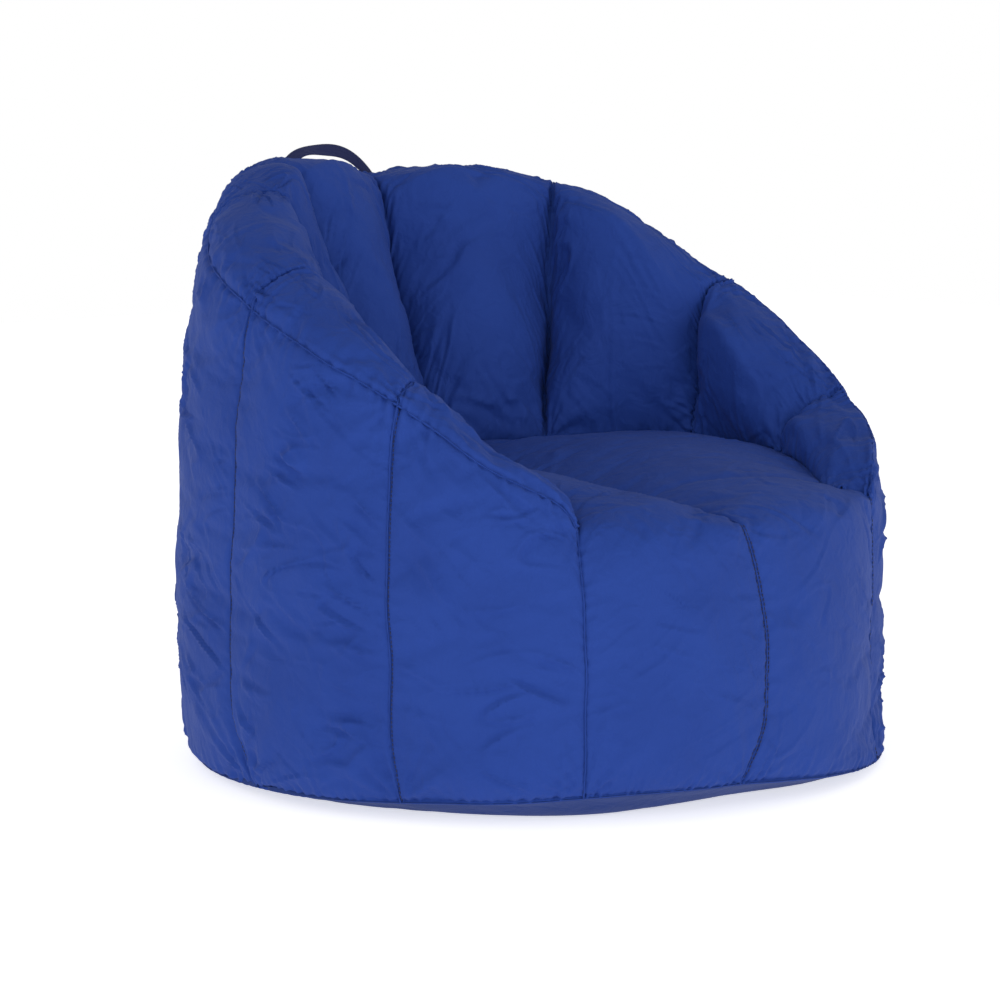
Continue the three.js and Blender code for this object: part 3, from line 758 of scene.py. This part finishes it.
def plain(name, color, rough, metal=0.0):
    """Thread, metal or nylon: one colour with a fine grain."""
    material, nodes, links, shader = new_material(name)
    settle(shader, {"Roughness": rough, "Metallic": metal})
    where = nodes.new("ShaderNodeTexCoord")
    noise = nodes.new("ShaderNodeTexNoise")
    settle(noise, {"Scale": 600})
    links.new(where.outputs["Object"], noise.inputs["Vector"])
    ramp = nodes.new("ShaderNodeValToRGB")
    ramp.color_ramp.elements[0].color = (*[c * 0.8 for c in color], 1)
    ramp.color_ramp.elements[1].color = (*color, 1)
    links.new(noise.outputs["Fac"], ramp.inputs["Fac"])
    links.new(ramp.outputs["Color"], shader.inputs["Base Color"])
    bumps = nodes.new("ShaderNodeBump")
    settle(bumps, {"Strength": 0.1, "Distance": 0.0005})
    links.new(noise.outputs["Fac"], bumps.inputs["Height"])
    links.new(bumps.outputs["Normal"], shader.inputs["Normal"])
    return material


# The thread's dark navy is partly painted shade: darker than the cover, it stands in for the shade
# in the stitch holes along the seams.
thread = plain("thread", (0.006, 0.012, 0.07), 0.6)
metal = plain("zip_metal", (0.32, 0.33, 0.35), 0.35, 1.0)
nylon = plain("zip_coil", (0.012, 0.012, 0.015), 0.4)


def bead_material():
    material, nodes, links, shader = new_material("bead_fill")
    settle(shader, {"Base Color": (0.87, 0.88, 0.86, 1), "Roughness": 0.65})
    where = nodes.new("ShaderNodeTexCoord")
    cells = nodes.new("ShaderNodeTexVoronoi")
    settle(cells, {"Scale": 260})
    links.new(where.outputs["Object"], cells.inputs["Vector"])
    bumps = nodes.new("ShaderNodeBump")
    bumps.invert = True
    settle(bumps, {"Strength": 0.9, "Distance": 0.003})
    links.new(cells.outputs["Distance"], bumps.inputs["Height"])
    links.new(bumps.outputs["Normal"], shader.inputs["Normal"])
    return material


beads = bead_material()


def dress(piece, material, slot, body, *nodes):
    """Gives a piece its material and body, and hides the CAD nodes it stands for."""
    piece.data.materials.clear()
    piece.data.materials.append(material)
    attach(piece, body)
    if nodes:
        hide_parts(*nodes)
    return piece


# ---------- Cover ----------

# How far the gathers run and how deep the tuck is at the first and the last row, how gathered
# the upright seams are, and how creased the cloth is.
CREASING = {"outer": ((1.5, 1.2), (0.0035, 0.0024), (0.25, 0.0022), 1.9),
            "inner": ((4.0, 1.5), (0.0022, 0.0030), (1.5, 0.0038), 1.5),
            "seat": ((1.5, 1.0), (0.0035, 0.0020), (0.5, 0.0024), 0.8)}
fine_grids = {}
for name, grid in panels.items():
    fine_grids[name] = finished(grid, *CREASING[name.split("_")[0]])
    piece = sheet_piece(f"{name}_cloth", fine_grids[name])
    dress(piece, cover_blue, "cover_fabric", "body", name)

# ---------- Base ----------


ZIP_HALF = 0.220
CHANNEL_RISE = 0.007
CHANNEL_HALF = 0.024


def base_height(x, y):
    """Underside of the base: flat, turned up to the base seam, folded up along the zip."""
    k = np.arctan2(x, PLAN_SHIFT - y) / STEP
    radius = np.hypot(x, y - PLAN_SHIFT) / RADIUS
    flat = ring(FLAT_RADIUS, k)
    edge = np.clip((radius - flat) / (ring(BASE_RADIUS, k) - flat), 0, 1.05)
    side_slope = (CHANNEL_HALF + 0.012 - np.abs(y)) / 0.012
    end_slope = (ZIP_HALF + 0.075 - np.abs(x)) / 0.040
    channel = CHANNEL_RISE * np.clip(np.minimum(side_slope, end_slope), 0, 1)
    return np.maximum(ring(BASE_HEIGHT, k) * edge ** 1.6, channel)


def wall_foot():
    """The base seam as the walls have it: true angles round the barrel, and points."""
    feet = []
    for name in fine_grids:
        if not name.startswith("inner"):
            feet.append(fine_grids[name][:, 0])
    feet = np.vstack(feet)
    turns = np.arctan2(feet[:, 0], PLAN_SHIFT - feet[:, 1]) / STEP
    order = np.argsort(turns)
    turns = turns[order]
    feet = feet[order]
    turns = np.r_[turns[-1] - SECTIONS, turns, turns[0] + SECTIONS]
    return turns, np.vstack([feet[-1:], feet, feet[:1]])


rim_turns, rim_points = wall_foot()
TAPE_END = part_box("zip_tape_front")[1].x


def base_grid(towards):
    """Half of the base, from the zip out to the base seam."""
    grid = []
    for turn in np.linspace(-1, 1, 89):
        angle = math.radians(88.5) * np.sign(turn) * (1 - (1 - abs(turn)) ** 1.25)
        turned = (angle if towards < 0 else math.pi - angle) / STEP
        turned = (turned + SECTIONS / 2) % SECTIONS - SECTIONS / 2
        end = np.array([np.interp(turned, rim_turns, rim_points[:, i]) for i in range(3)])
        past = smoothstep(abs(end[0]), TAPE_END, TAPE_END + 0.022)
        start = np.array([end[0], towards * (0.006 + (0.0004 - 0.006) * past)])
        share = np.linspace(0, 1, 90)[:, None]
        line = start + (end[:2] - start) * share
        height = base_height(line[:, 0], line[:, 1])
        height += (end[2] - height[-1]) * smoothstep(share[:, 0], 0.90, 1.0)
        grid.append(np.column_stack([line, np.maximum(height, LIFT)]))
    grid = np.array(grid)
    soft = waves(grid, 0.10, 16) * 0.5 + 0.5
    radius = np.hypot(grid[..., 0], grid[..., 1] - PLAN_SHIFT) / RADIUS
    free = smoothstep(radius, 0.85, 0.90)
    free *= 1 - smoothstep(np.broadcast_to(np.linspace(0, 1, 90), radius.shape), 0.93, 1.0)
    grid[..., 2] += soft * 0.004 * free + 0.0006 * np.clip(waves(grid, 0.05, 16), 0, 1)
    return grid


def downward(p):
    return np.array([0, 0, -1.0])


for word, towards in (("front", -1), ("rear", 1)):
    grid = facing(base_grid(towards), downward)
    piece = sheet_piece(f"base_cloth_{word}", grid)
    dress(piece, base_blue, "base_fabric", "body", f"base_panel_{word}")

# ---------- Stitches ----------


STITCH_PITCH = 0.0050
STITCH_LENGTH = 0.0036
STITCH_LIFT = 0.0004


def stitches(name, lines, radius=0.0006):
    """A row of short thread stitches along each line of points."""
    angles = np.linspace(0, 2 * math.pi, 6, endpoint=False)
    ends = [(-0.5, 0.35), (-0.36, 1), (0.36, 1), (0.5, 0.35)]
    points, faces = [], []
    for line, out in lines:
        run = np.linalg.norm(np.diff(line, axis=0), axis=1).sum()
        count = max(int(run / STITCH_PITCH), 2)
        centres = resample(line, count)
        raised = resample(out, count)
        along = np.gradient(centres, axis=0)
        along /= np.linalg.norm(along, axis=1, keepdims=True)
        side = np.cross(along, raised)
        side /= np.linalg.norm(side, axis=1, keepdims=True)
        up = np.cross(side, along)
        for i in range(1, count - 1):
            start = len(points)
            for share, size in ends:
                for angle in angles:
                    points.append(centres[i] + along[i] * share * STITCH_LENGTH
                                  + side[i] * math.cos(angle) * radius * size
                                  + up[i] * math.sin(angle) * radius * size)
            for level in range(3):
                for n in range(6):
                    a = start + level * 6 + n
                    b = start + level * 6 + (n + 1) % 6
                    faces.append((a, b, b + 6, a + 6))
            faces.append(tuple(start + n for n in range(5, -1, -1)))
            faces.append(tuple(start + 18 + n for n in range(6)))
    return mesh_object(name, points, faces)


def seam_side(grid, column):
    """A line beside an upright edge of a finished panel, and the cloth's normals along it."""
    normal = normals_of(grid)[column]
    return grid[column] + normal * STITCH_LIFT, normal


lines = []
for name, _ in wall_sections():
    grid = fine_grids[f"outer_panel_{name}"]
    lines.append(seam_side(grid, 3))
for word in SIDES:
    grid = fine_grids[f"seat_panel_{word}"]
    rows = grid.shape[1]
    low = int(rows * 0.36)
    line, out = seam_side(grid, 3 if word == "left" else -4)
    lines.append((line[:low], out[:low]))
# These stitches wear the dark thread, whose colour is partly painted shade of the stitch holes.
piece = stitches("seam_stitches", lines)
dress(piece, thread, "cover_fabric", "body")

# ---------- Beads and divider webs, inside ----------


def loft(name, rings):
    """A closed solid through rings of points."""
    rings = np.array(rings)
    count, size = rings.shape[:2]
    points = rings.reshape(-1, 3)
    faces = []
    for i in range(count - 1):
        for j in range(size):
            a = i * size + j
            b = i * size + (j + 1) % size
            faces.append((a, b, b + size, a + size))
    points = np.vstack([points, rings[0].mean(0), rings[-1].mean(0)])
    first, last = len(points) - 2, len(points) - 1
    for j in range(size):
        faces.append((first, (j + 1) % size, j))
        faces.append((last, (count - 1) * size + j, (count - 1) * size + (j + 1) % size))
    return mesh_object(name, points, faces)


def section_outline(wall, inside, depth):
    """A chamber's outline at one column: up the outside, down the inside, along the floor."""
    low = depth + 0.014
    path = np.vstack([wall[4:-2:3], inside[2:-2:3]])
    path[:, 2] = np.maximum(path[:, 2], base_height(path[:, 0], path[:, 1]) + depth)
    foot = path[-1] * [1.08, 1.08, 1]
    foot[2] = low
    start = path[0] * [0.90, 0.90, 1]
    start[2] = low
    bottom = [foot + (start - foot) * f for f in (0.0, 0.35, 0.7, 1.0)]
    for point in bottom:
        point[2] = max(low, base_height(point[0], point[1]) + depth)
    return np.vstack([path, bottom])


def set_back(grid, depth):
    return grid - normals_of(grid) * depth


for name, k in wall_sections():
    outer = set_back(panels[f"outer_panel_{name}"], BEAD_DEPTH)
    inner = set_back(panels[f"inner_panel_{name}"], BEAD_DEPTH + 0.010)
    if np.linalg.norm(outer[0, -1] - inner[0, 0]) > np.linalg.norm(outer[0, -1] - inner[-1, 0]):
        inner = inner[::-1]
    rings = []
    for share in np.linspace(0.18, 0.82, 9):
        column = int(round(share * (len(outer) - 1)))
        rings.append(section_outline(outer[column], inner[column], BEAD_DEPTH))
    piece = loft(f"beads_{name}", rings)
    dress(piece, beads, "bead_fill", "body", f"bead_fill_{name}")

for word, side in SIDES.items():
    grid = set_back(panels[f"seat_panel_{word}"], BEAD_DEPTH + 0.004)
    rings = []
    for column in grid[4:-4:2]:
        top = column[5:-6:3].copy()
        top[:, 2] = np.maximum(top[:, 2], base_height(top[:, 0], top[:, 1]) + 0.012)
        floor = top[::-1] * [0.92, 0.92, 0]
        floor[:, 2] = np.maximum(0.024, base_height(floor[:, 0], floor[:, 1]) + 0.010)
        rings.append(np.vstack([top, floor[1:-3:2]]))
    piece = loft(f"beads_seat_{word}", rings)
    dress(piece, beads, "bead_fill", "body", f"bead_fill_seat_{word}")


def web_sheet(name, grid, node):
    """A divider web: a sheet of lining cloth held tight between two seams."""
    piece = sheet_piece(name, grid, WEB_THICKNESS)
    dress(piece, lining, "lining_fabric", "body", node)


def web_grid(outer, inner):
    """A flat web from an outer seam to the inner seam in front of it."""
    count = 40
    floor = inner[-1].copy()
    floor[2] = 0.014
    inside = np.vstack([inner, [floor]])[::-1]
    path_in = resample(inside, count)
    path_out = resample(outer, count)
    share = np.linspace(0.03, 0.97, 12)[:, None, None]
    grid = path_out + (path_in - path_out) * share
    grid[..., 2] = np.clip(grid[..., 2], 0.012, None) - 0.004 * (grid[..., 2] > 0.1)
    return grid


for word, side in SIDES.items():
    for k in range(1, 6):
        seam = float(side * k)
        outer = wobbled(outer_grid(side * k, side * k + 0.5))[0]
        line = hollow_line(seam, 60)
        inner = wobbled(place(np.full(60, seam), RADIUS * line[:, 0], line[:, 1]))
        web_sheet(f"web_{k}_{word}", web_grid(outer, inner), f"divider_web_{k}_{word}")

middle = wobbled(seat_grid(1))[0]
split = len(middle) * 2 // 5
floor_line = middle[split:].copy()
floor_line[:, 2] = 0.020
top_line = resample(middle[split:], 60)
low_line = resample(floor_line, 60)
share = np.linspace(0.03, 0.98, 10)[:, None, None]
web_sheet("web_seat", low_line[None] + (top_line - low_line)[None] * share, "divider_web_seat")

# ---------- Carry handle ----------

handle_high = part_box("carry_handle")[1]
anchor_low, anchor_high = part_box("handle_anchor_left")
HANDLE_HALF = 0.5 * (anchor_low.x + anchor_high.x)
HINGE_Y = anchor_high.y + 0.0015     # the line that the handle swings on
HINGE_Z = handle_high.z - 0.0625


def ribbon(name, centres, flats, widths, thickness, around=14):
    """A band with rounded edges along a line of centres."""
    centres = np.asarray(centres)
    along = np.gradient(centres, axis=0)
    along /= np.linalg.norm(along, axis=1, keepdims=True)
    rings = []
    for i, centre in enumerate(centres):
        flat = flats[i] - along[i] * (flats[i] @ along[i])
        flat /= np.linalg.norm(flat)
        thick = np.cross(along[i], flat)
        outline = []
        for angle in np.linspace(0, 2 * math.pi, around, endpoint=False):
            c, s = math.cos(angle), math.sin(angle)
            a = math.copysign(abs(c) ** 0.35, c)
            b = math.copysign(abs(s) ** 0.8, s)
            outline.append(centre + flat * a * widths[i] / 2 + thick * b * thickness / 2)
        rings.append(outline)
    piece = loft(name, rings)
    values = np.zeros((len(piece.data.vertices), 3))
    steps = np.linalg.norm(np.diff(centres, axis=0), axis=1)
    run = np.r_[0, np.cumsum(steps)]
    for i in range(len(centres)):
        for j in range(around):
            side = widths[i] / 2 * math.cos(2 * math.pi * j / around)
            values[i * around + j, :2] = (side, run[i])
    layer = piece.data.attributes.new("cloth", "FLOAT_VECTOR", "POINT")
    layer.data.foreach_set("vector", values.reshape(-1))
    return piece


centres, flats, widths = [], [], []
for f in np.linspace(-1, 1, 61):
    rise = HANDLE_RISE * (1 - abs(f) ** 3.2)
    centres.append((HANDLE_HALF * f, HINGE_Y + 0.004 + 0.42 * rise, HINGE_Z + 0.006 + rise))
    middle_lean = 32 + 38 * f      # the band twists from one end to the other
    lean = math.radians(middle_lean + (75 - middle_lean) * abs(f) ** 4)
    slope = math.atan2(HANDLE_RISE * 3.2 * abs(f) ** 2.2 * -np.sign(f), HANDLE_HALF)
    up = np.array([-math.sin(slope), 0, math.cos(slope)])
    flats.append(np.array([0, math.cos(lean), 0]) + up * math.sin(lean))
    widths.append(HANDLE_WIDTH * (1 - 0.45 * f * f))
piece = ribbon("handle_webbing", centres, flats, widths, 0.0022)
dress(piece, webbing, "webbing", "handle", "carry_handle")

for word, side in SIDES.items():
    low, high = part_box(f"handle_anchor_{word}")
    middle_x = 0.5 * (low.x + high.x)
    middle_y = 0.5 * (low.y + high.y) + 0.004
    rows = np.linspace(low.z, min(high.z, HINGE_Z - 0.009), 12)
    piece = ribbon(f"handle_tab_{word}", [(middle_x, middle_y, z) for z in rows],
                   [np.array([1.0, 0, 0])] * 12, [high.x - low.x] * 12, high.y - low.y)
    dress(piece, webbing, "webbing", "body", f"handle_anchor_{word}")

# ---------- Zip and its flap ----------

for word in ("front", "rear"):
    low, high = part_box(f"zip_coil_{word}")
    turns = np.arange(low.x + 0.001, high.x - 0.001, 0.0021)
    points, faces = [], []
    for x in turns:
        start = len(points)
        for n in range(8):
            angle = 2 * math.pi * n / 8
            y = 0.5 * (low.y + high.y) + 0.5 * (high.y - low.y) * math.cos(angle)
            z = 0.5 * (low.z + high.z) + 0.5 * (high.z - low.z) * math.sin(angle)
            points.append((x - 0.0006, y, z))
            points.append((x + 0.0006, y, z))
        for n in range(8):
            a = start + 2 * n
            b = start + 2 * ((n + 1) % 8)
            faces.append((a, a + 1, b + 1, b))
        faces.append(tuple(start + 2 * n for n in range(8)))
        faces.append(tuple(start + 2 * n + 1 for n in range(7, -1, -1)))
    piece = mesh_object(f"zip_teeth_{word}", points, faces, smooth=False)
    dress(piece, nylon, "zip_tape", "body", f"zip_coil_{word}")

low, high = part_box("zip_flap")
columns = np.linspace(low.x, high.x, 120)
rows = np.linspace(low.y, high.y, 14)
x, y = np.meshgrid(columns, rows, indexing="ij")
z = np.full_like(x, low.z + 0.0001)
flap = np.stack([x, y, z], -1)
flap[..., 2] += 0.0003 * (1 + waves(flap, 0.05, 12).clip(-1, 1))
piece = sheet_piece("flap_cloth", facing(flap, downward), 0.0009)
dress(piece, base_blue, "base_fabric", "flap", "zip_flap")
lines = []
for y in (low.y + 0.004, high.y - 0.004):
    line = np.array([(x, y, low.z - 0.0001) for x in columns])
    lines.append((line, np.tile([0, 0, -1.0], (len(line), 1))))
piece = stitches("flap_stitches", lines, radius=0.0003)
dress(piece, thread, "base_fabric", "flap")

slider_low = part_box("zip_slider")[0]
PULL_WIDTHS = [0.004, 0.006, 0.0065, 0.006, 0.0055, 0.0055, 0.006, 0.007, 0.0078, 0.007, 0.004]
tag = [(slider_low.x + 0.004 - 0.0022 * i, 0, slider_low.z - 0.0013) for i in range(11)]
piece = ribbon("zip_pull", tag, [np.array([0, 1.0, 0])] * 11, PULL_WIDTHS, 0.0012)
dress(piece, metal, "zip_metal", "slider")

KEPT = {"zip_tape_front": tape_black, "zip_tape_rear": tape_black,
        "zip_stop_closed_end": metal, "zip_stop_open_end": metal, "zip_slider": metal}
for word, material in KEPT.items():
    node = bpy.data.objects.get(word)
    for holder in [node, *node.children_recursive]:
        if holder.type == "MESH":
            holder.data.materials.clear()
            holder.data.materials.append(material)

# ---------- Floor, light and camera ----------

FLOOR_HALF = 6.0
corners = ((-1, -1), (1, -1), (1, 1), (-1, 1))
floor_corners = [(x * FLOOR_HALF, y * FLOOR_HALF, 0) for x, y in corners]
floor = mesh_object("floor", floor_corners, [(0, 1, 2, 3)])
floor_material, nodes, links, shader = new_material("floor_white")
settle(shader, {"Base Color": (0.9, 0.9, 0.9, 1), "Roughness": 0.9,
                "Emission Color": (1, 1, 1, 1), "Emission Strength": 0.62})
floor.data.materials.append(floor_material)
floor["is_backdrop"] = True

world = bpy.data.worlds.new("studio")
world.use_nodes = True
background = world.node_tree.nodes["Background"]
settle(background, {"Color": (1, 1, 1, 1)})
sky = world.node_tree.nodes.new("ShaderNodeTexCoord")
apart = world.node_tree.nodes.new("ShaderNodeSeparateXYZ")
fade = world.node_tree.nodes.new("ShaderNodeMapRange")
settle(fade, {"From Min": 0.05, "From Max": 0.75, "To Min": 1.0, "To Max": 0.46})
world.node_tree.links.new(sky.outputs["Generated"], apart.inputs[0])
world.node_tree.links.new(apart.outputs["Z"], fade.inputs["Value"])
world.node_tree.links.new(fade.outputs["Result"], background.inputs["Strength"])
bpy.context.scene.world = world
bpy.context.scene.view_settings.view_transform = "Standard"


def area_light(name, where, size, power, target=(0, 0, 0.35)):
    lamp = bpy.data.lights.new(name, "AREA")
    lamp.shape = "DISK"
    lamp.size = size
    lamp.energy = power
    holder = bpy.data.objects.new(name, lamp)
    holder.location = where
    holder.rotation_euler = (Vector(target) - Vector(where)).to_track_quat("-Z", "Y").to_euler()
    bpy.context.scene.collection.objects.link(holder)


area_light("key", (-3.4, -2.4, 1.7), 2.2, 37)
area_light("front", (0.8, -3.4, 1.2), 2.4, 17)

CAMERA_TURN = math.radians(-41.52)
CAMERA_PLACE = (-2.6515, -2.9949, 0.85)
CAMERA_YAW = math.radians(-0.53)
CAMERA_PITCH = math.radians(-7.66)
ahead = np.array([-math.sin(CAMERA_TURN), math.cos(CAMERA_TURN), 0])
right = np.array([math.cos(CAMERA_TURN), math.sin(CAMERA_TURN), 0])
level = ahead * math.cos(CAMERA_YAW) + right * math.sin(CAMERA_YAW)
look = level * math.cos(CAMERA_PITCH) + np.array([0, 0, math.sin(CAMERA_PITCH)])
camera_data = bpy.data.cameras.new("camera")
camera_data.lens = 118.9
camera_data.sensor_width = 36
camera = bpy.data.objects.new("camera", camera_data)
camera.location = CAMERA_PLACE
camera.rotation_euler = Vector(look).to_track_quat("-Z", "Y").to_euler()
bpy.context.scene.collection.objects.link(camera)
bpy.context.scene.camera = camera

# ---------- Sizes -------------------------

low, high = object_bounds()
